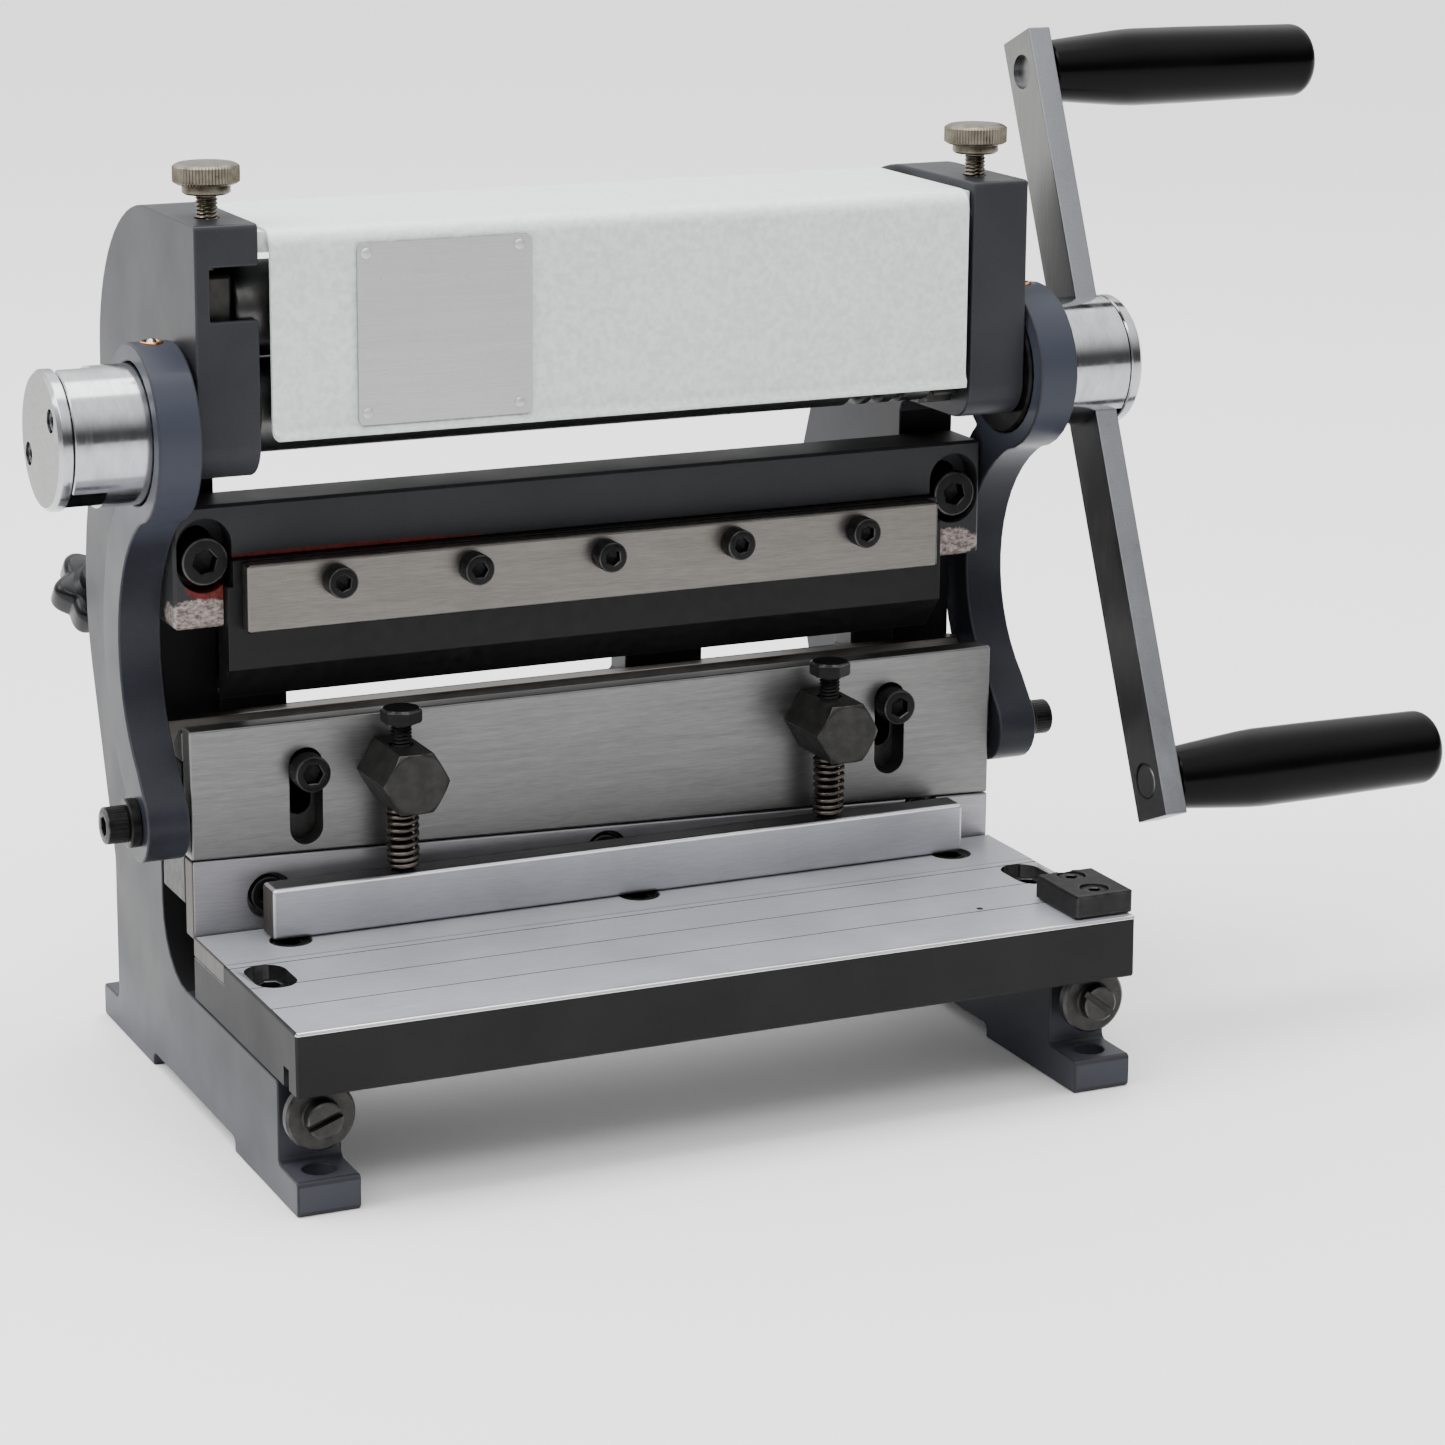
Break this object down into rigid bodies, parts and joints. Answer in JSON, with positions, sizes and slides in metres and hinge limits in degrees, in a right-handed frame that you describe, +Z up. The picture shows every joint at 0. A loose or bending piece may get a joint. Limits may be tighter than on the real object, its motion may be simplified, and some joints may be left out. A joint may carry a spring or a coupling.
{
  "type": "combination sheet metal machine",
  "caption": "Bench sheet metal machine with a raked shear, a V brake and slip rolls between two cast end frames, worked by a two-handled crank.",
  "frame": {"origin": "under the middle of the whole machine's box, at the feet's undersides", "axes": "+Z up, +X to the operator's right towards the crank lever, +Y away from the operator"},
  "size_m": [0.396, 0.2072, 0.2776],
  "materials": {
    "casting": "satin dark slate paint on cast iron",
    "cover": "pale pebbled paint on steel sheet",
    "plate": "bare brushed sheet",
    "table_steel": "ground",
    "ram_steel": "ground, warm grey",
    "roll_steel": "turned",
    "hub_steel": "bright plated",
    "black_oxide": "black oxide",
    "dark_steel": "dark, oiled",
    "spring_steel": "spring temper",
    "nickel": "worn nickel plate",
    "grip_plastic": "gloss black"
  },
  "bodies": {
    "stand": {"left_end_frame": "casting", "right_end_frame": "casting", "upper_beam": "casting", "rear_tie_beam": "casting", "brake_punch": "black_oxide", "clamp_strip": "ram_steel", "clamp_screw_1": "black_oxide", "clamp_screw_2": "black_oxide", "clamp_screw_3": "black_oxide", "clamp_screw_4": "black_oxide", "clamp_screw_5": "black_oxide", "left_beam_bolt": "black_oxide", "right_beam_bolt": "black_oxide", "left_guide_screw": "black_oxide", "right_guide_screw": "black_oxide", "left_table_bolt": "black_oxide", "right_table_bolt": "black_oxide", "roll_cover": "cover", "name_plate": "plate"},
    "table": {"work_table": "table_steel", "lower_shear_blade": "table_steel", "stop_block": "black_oxide"},
    "left_adjuster": {"left_table_adjuster": "dark_steel"},
    "right_adjuster": {"right_table_adjuster": "dark_steel"},
    "crank": {"crank_shaft": "roll_steel", "drive_gear": "dark_steel", "left_hub": "hub_steel", "right_hub": "hub_steel", "left_hub_cap": "hub_steel", "right_hub_cap": "hub_steel", "crank_lever": "ram_steel"},
    "upper_handle": {"upper_grip": "grip_plastic"},
    "lower_handle": {"lower_grip": "grip_plastic"},
    "left_rod": {"left_arm": "casting", "left_arm_bolt": "black_oxide"},
    "right_rod": {"right_arm": "casting", "right_arm_bolt": "black_oxide"},
    "ram": {"ram_body": "dark_steel", "ram_front_plate": "ram_steel", "lower_die": "ram_steel", "upper_shear_blade": "table_steel", "left_hex_post": "dark_steel", "right_hex_post": "dark_steel"},
    "hold_down": {"hold_down_bar": "table_steel", "left_hold_down_bolt": "black_oxide", "right_hold_down_bolt": "black_oxide", "left_hold_down_spring": "spring_steel", "right_hold_down_spring": "spring_steel"},
    "pinch_carriage": {"left_pinch_block": "dark_steel", "right_pinch_block": "dark_steel"},
    "upper_roller": {"upper_roll": "roll_steel", "roll_gear": "dark_steel"},
    "left_thumb": {"left_thumb_screw": "nickel"},
    "right_thumb": {"right_thumb_screw": "nickel"},
    "rear_carriage": {"left_rear_block": "dark_steel", "right_rear_block": "dark_steel"},
    "rear_roller": {"rear_roll": "roll_steel"},
    "left_knob": {"left_star_knob": "grip_plastic"},
    "right_knob": {"right_star_knob": "grip_plastic"}
  },
  "joints": [
    {"name": "crank_turn", "type": "hinge", "parent": "stand", "child": "crank", "pos_m": [-0.04095, -0.01906, 0.19125], "axis": [1, 0, 0], "range_deg": [0, 180]},
    {"name": "left_arm_swing", "type": "hinge", "parent": "crank", "child": "left_rod", "pos_m": [-0.16795, -0.01906, 0.186], "axis": [1, 0, 0], "range_deg": [-180, 0]},
    {"name": "right_arm_swing", "type": "hinge", "parent": "crank", "child": "right_rod", "pos_m": [0.08605, -0.01906, 0.186], "axis": [1, 0, 0], "range_deg": [-180, 0]},
    {"name": "upper_grip_spin", "type": "hinge", "parent": "crank", "child": "upper_handle", "pos_m": [0.10905, 0.01421, 0.26476], "axis": [1, 0, 0], "continuous": true},
    {"name": "lower_grip_spin", "type": "hinge", "parent": "crank", "child": "lower_handle", "pos_m": [0.10905, -0.06626, 0.07426], "axis": [1, 0, 0], "continuous": true},
    {"name": "ram_slide", "type": "slide", "parent": "stand", "child": "ram", "axis": [0, 0, 1], "range_m": [0, 0.0105]},
    {"name": "hold_down_slide", "type": "slide", "parent": "ram", "child": "hold_down", "axis": [0, 0, -1], "range_m": [0, 0.006], "deforming": ["left_hold_down_spring", "right_hold_down_spring"]},
    {"name": "upper_roll_spin", "type": "hinge", "parent": "pinch_carriage", "child": "upper_roller", "pos_m": [-0.04095, -0.01906, 0.21665], "axis": [1, 0, 0], "range_deg": [-180, 0]},
    {"name": "pinch_slide", "type": "slide", "parent": "stand", "child": "pinch_carriage", "axis": [0, 0, 1], "range_m": [0, 0.0012]},
    {"name": "rear_roll_lift", "type": "slide", "parent": "stand", "child": "rear_carriage", "axis": [0, -0.7071, 0.7071], "range_m": [0, 0.011]},
    {"name": "rear_roll_spin", "type": "hinge", "parent": "rear_carriage", "child": "rear_roller", "pos_m": [-0.04095, 0.01944, 0.191], "axis": [1, 0, 0], "continuous": true},
    {"name": "table_slide", "type": "slide", "parent": "stand", "child": "table", "axis": [0, -1, 0], "range_m": [0, 0.0009]},
    {"name": "left_thumb_turn", "type": "hinge", "parent": "pinch_carriage", "child": "left_thumb", "pos_m": [-0.15245, -0.01906, 0.24], "axis": [0, 0, 1], "range_deg": [0, 432.1]},
    {"name": "left_knob_turn", "type": "hinge", "parent": "rear_carriage", "child": "left_knob", "pos_m": [-0.15245, 0.01944, 0.191], "axis": [0, -0.7071, 0.7071], "range_deg": [0, 3168]},
    {"name": "left_adjuster_turn", "type": "hinge", "parent": "table", "child": "left_adjuster", "pos_m": [-0.15245, -0.09556, 0.024], "axis": [0, -1, 0], "range_deg": [0, 259.3]},
    {"name": "right_thumb_turn", "type": "hinge", "parent": "pinch_carriage", "child": "right_thumb", "pos_m": [0.07055, -0.01906, 0.24], "axis": [0, 0, 1], "range_deg": [0, 432.1]},
    {"name": "right_knob_turn", "type": "hinge", "parent": "rear_carriage", "child": "right_knob", "pos_m": [0.07055, 0.01944, 0.191], "axis": [0, -0.7071, 0.7071], "range_deg": [0, 3168]},
    {"name": "right_adjuster_turn", "type": "hinge", "parent": "table", "child": "right_adjuster", "pos_m": [0.07055, -0.09556, 0.024], "axis": [0, -1, 0], "range_deg": [0, 259.3]}
  ],
  "couplings": [
    {"joint": "left_arm_swing", "follows": "crank_turn", "ratio": -1},
    {"joint": "right_arm_swing", "follows": "crank_turn", "ratio": -1},
    {"joint": "ram_slide", "follows": "crank_turn", "m_per_rad": 0.003342},
    {"joint": "hold_down_slide", "follows": "crank_turn", "m_per_rad": 0.0019098},
    {"joint": "upper_roll_spin", "follows": "crank_turn", "ratio": -1},
    {"joint": "left_thumb_turn", "follows": "pinch_slide", "rad_per_m": 6283.2},
    {"joint": "left_knob_turn", "follows": "rear_roll_lift", "rad_per_m": 5026.6},
    {"joint": "left_adjuster_turn", "follows": "table_slide", "rad_per_m": 5026.6},
    {"joint": "right_thumb_turn", "follows": "pinch_slide", "rad_per_m": 6283.2},
    {"joint": "right_knob_turn", "follows": "rear_roll_lift", "rad_per_m": 5026.6},
    {"joint": "right_adjuster_turn", "follows": "table_slide", "rad_per_m": 5026.6}
  ]
}
